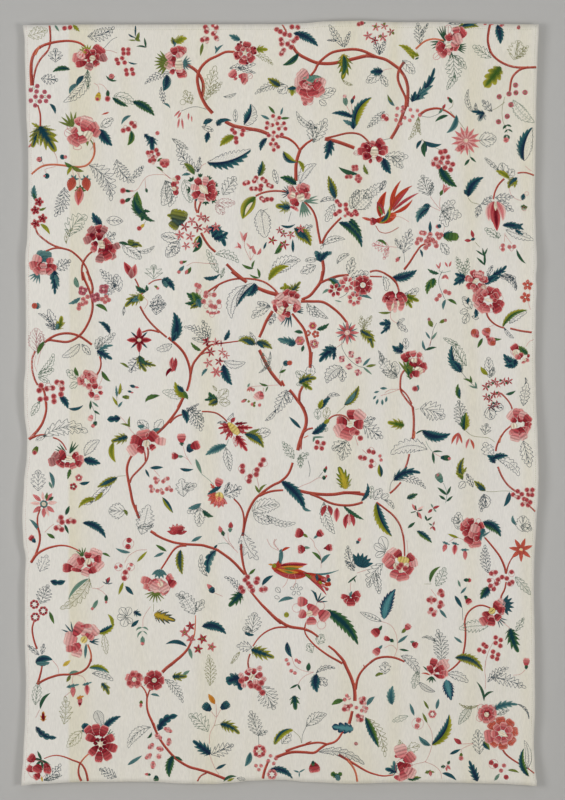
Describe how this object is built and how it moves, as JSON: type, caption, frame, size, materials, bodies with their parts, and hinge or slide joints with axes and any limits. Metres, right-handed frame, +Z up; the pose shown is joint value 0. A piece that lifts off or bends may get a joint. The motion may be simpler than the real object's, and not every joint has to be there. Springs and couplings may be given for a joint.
{
  "type": "crewel embroidered curtain",
  "caption": "Hung curtain panel of off-white twill, worked all over in coloured wool with winding stems, blossoms, leaves, berries and small birds; hemmed along its top and sides.",
  "frame": {"origin": "middle of the panel's top edge, where it is held up", "axes": "+Z up the panel's length, +X across it to the viewer's right, -Y out of its worked face"},
  "size_m": [1.423, 0.0152, 2.1045],
  "materials": {
    "cloth": "matt linen and cotton twill, off-white with faint yellow stains",
    "wool": "two-ply crewel wool in coral, crimson, pink, blue, green, yellow and grey"
  },
  "bodies": {
    "root": {"panel": "cloth"}
  },
  "joints": []
}
